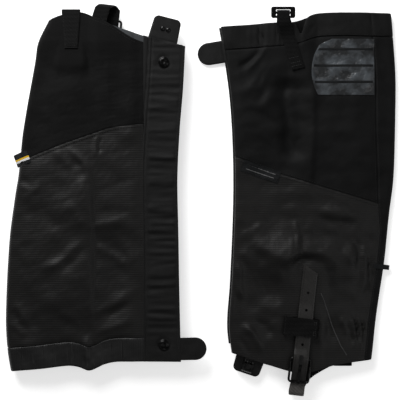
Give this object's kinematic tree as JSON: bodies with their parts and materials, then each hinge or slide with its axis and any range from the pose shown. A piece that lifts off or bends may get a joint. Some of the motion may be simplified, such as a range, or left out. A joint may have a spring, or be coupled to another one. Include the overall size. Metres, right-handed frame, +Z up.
{
  "type": "gaiters",
  "caption": "Pair of knee-high mountain gaiters lying flat, with snap-closed front flaps, lace hooks, buckled instep straps and a calf cinch.",
  "frame": {"origin": "middle of the pair on the surface it lies on", "axes": "+Z up off the surface; +Y along the legs, towards the left gaiter's calf end and the right gaiter's foot end; +X from the right gaiter to the left one"},
  "size_m": [0.4886, 0.4899, 0.0235],
  "materials": {
    "softshell": "smooth stretch-woven matte softshell",
    "ripstop": "fine ribbed ripstop weave, slight sheen",
    "reinforced": "dense plain weave, matte",
    "webbing": "ribbed narrow webbing",
    "hook_and_loop": "hook and loop pile",
    "coated_strap": "coated webbing, satin, woven back",
    "coated_tab": "coated tab, satin, stitched edges",
    "plastic": "moulded acetal",
    "dark_metal": "blackened, worn to grey at the edges",
    "steel": "bright bent sheet"
  },
  "bodies": {
    "shells": {"left_outer_calf_panel": "softshell", "left_outer_ankle_panel": "ripstop", "left_inner_calf_panel": "ripstop", "left_inner_ankle_panel": "reinforced", "left_back_strip": "softshell", "left_calf_hem": "softshell", "left_front_placket": "reinforced", "left_loop_strip": "hook_and_loop", "left_lower_snap_stud": "dark_metal", "left_upper_snap_stud": "dark_metal", "left_instep_strap": "coated_strap", "left_buckle_tab": "coated_tab", "left_strap_keeper": "webbing", "left_strap_anchor": "webbing", "left_cinch_anchor": "webbing", "right_outer_calf_panel": "softshell", "right_outer_ankle_panel": "ripstop", "right_inner_calf_panel": "ripstop", "right_inner_ankle_panel": "reinforced", "right_back_strip": "softshell", "right_calf_hem": "softshell", "right_front_placket": "reinforced", "right_loop_strip": "hook_and_loop", "right_lower_snap_stud": "dark_metal", "right_upper_snap_stud": "dark_metal", "right_instep_strap": "coated_strap", "right_buckle_tab": "coated_tab", "right_strap_keeper": "webbing", "right_strap_anchor": "webbing", "right_cinch_anchor": "webbing"},
    "left_front_flap": {"left_front_flap": "reinforced", "left_hook_strip": "hook_and_loop", "left_lower_snap_cap": "dark_metal", "left_lower_snap_socket": "dark_metal", "left_upper_snap_cap": "dark_metal", "left_upper_snap_socket": "dark_metal"},
    "left_pull_tab": {"left_pull_tab": "coated_tab"},
    "left_hook_tab": {"left_hook_tab": "coated_tab", "left_lace_hook": "steel", "left_hook_rivet_front": "steel", "left_hook_rivet_rear": "steel"},
    "left_buckle_frame": {"left_buckle_frame": "dark_metal"},
    "left_buckle_prong": {"left_buckle_prong": "dark_metal"},
    "left_cinch": {"left_cinch_buckle": "plastic", "left_cinch_tail": "webbing"},
    "right_front_flap": {"right_front_flap": "reinforced", "right_hook_strip": "hook_and_loop", "right_lower_snap_cap": "dark_metal", "right_lower_snap_socket": "dark_metal", "right_upper_snap_cap": "dark_metal", "right_upper_snap_socket": "dark_metal"},
    "right_pull_tab": {"right_pull_tab": "coated_tab"},
    "right_hook_tab": {"right_hook_tab": "coated_tab", "right_lace_hook": "steel", "right_hook_rivet_front": "steel", "right_hook_rivet_rear": "steel"},
    "right_buckle_frame": {"right_buckle_frame": "dark_metal"},
    "right_buckle_prong": {"right_buckle_prong": "dark_metal"},
    "right_cinch": {"right_cinch_buckle": "plastic", "right_cinch_tail": "webbing"}
  },
  "joints": [
    {"name": "left_front_flap_swing", "type": "hinge", "parent": "shells", "child": "left_front_flap", "pos_m": [0.08804, 0.01078, 0.0027], "axis": [0, -1, 0], "range_deg": [0, 160]},
    {"name": "left_pull_tab_swing", "type": "hinge", "parent": "left_front_flap", "child": "left_pull_tab", "pos_m": [0.02639, 0.18697, 0.0035], "axis": [-0.1592, 0.9872, 0], "range_deg": [-40, 90]},
    {"name": "left_hook_tab_swing", "type": "hinge", "parent": "shells", "child": "left_hook_tab", "pos_m": [0.06404, -0.19025, 0.0072], "axis": [0.9473, -0.3203, 0], "range_deg": [-20, 75]},
    {"name": "left_buckle_frame_swing", "type": "hinge", "parent": "shells", "child": "left_buckle_frame", "pos_m": [0.12396, -0.19645, 0.01845], "axis": [-0.9936, 0.1132, 0], "range_deg": [0, 40]},
    {"name": "left_buckle_prong_swing", "type": "hinge", "parent": "left_buckle_frame", "child": "left_buckle_prong", "pos_m": [0.12396, -0.19645, 0.01845], "axis": [-0.9936, 0.1132, 0], "range_deg": [0, 60]},
    {"name": "left_cinch_swing", "type": "hinge", "parent": "shells", "child": "left_cinch", "pos_m": [0.10214, 0.22856, 0.0183], "axis": [-1, 0, 0], "range_deg": [0, 60]},
    {"name": "right_front_flap_swing", "type": "hinge", "parent": "shells", "child": "right_front_flap", "pos_m": [-0.07171, 0.00078, 0.0208], "axis": [0, -1, 0], "range_deg": [0, 160]},
    {"name": "right_pull_tab_swing", "type": "hinge", "parent": "right_front_flap", "child": "right_pull_tab", "pos_m": [-0.02426, -0.18437, 0.02], "axis": [-0.0225, 0.9997, 0], "range_deg": [-40, 90]},
    {"name": "right_hook_tab_swing", "type": "hinge", "parent": "shells", "child": "right_hook_tab", "pos_m": [-0.04771, 0.20082, 0.0163], "axis": [0.9692, -0.2461, 0], "range_deg": [-20, 75]},
    {"name": "right_buckle_frame_swing", "type": "hinge", "parent": "shells", "child": "right_buckle_frame", "pos_m": [-0.11561, 0.19698, 0.00505], "axis": [-0.9936, 0.1132, 0], "range_deg": [0, 40]},
    {"name": "right_buckle_prong_swing", "type": "hinge", "parent": "right_buckle_frame", "child": "right_buckle_prong", "pos_m": [-0.11561, 0.19698, 0.00505], "axis": [-0.9936, 0.1132, 0], "range_deg": [0, 60]},
    {"name": "right_cinch_swing", "type": "hinge", "parent": "shells", "child": "right_cinch", "pos_m": [-0.08581, -0.18565, 0.0052], "axis": [-1, 0, 0], "range_deg": [0, 60]}
  ]
}
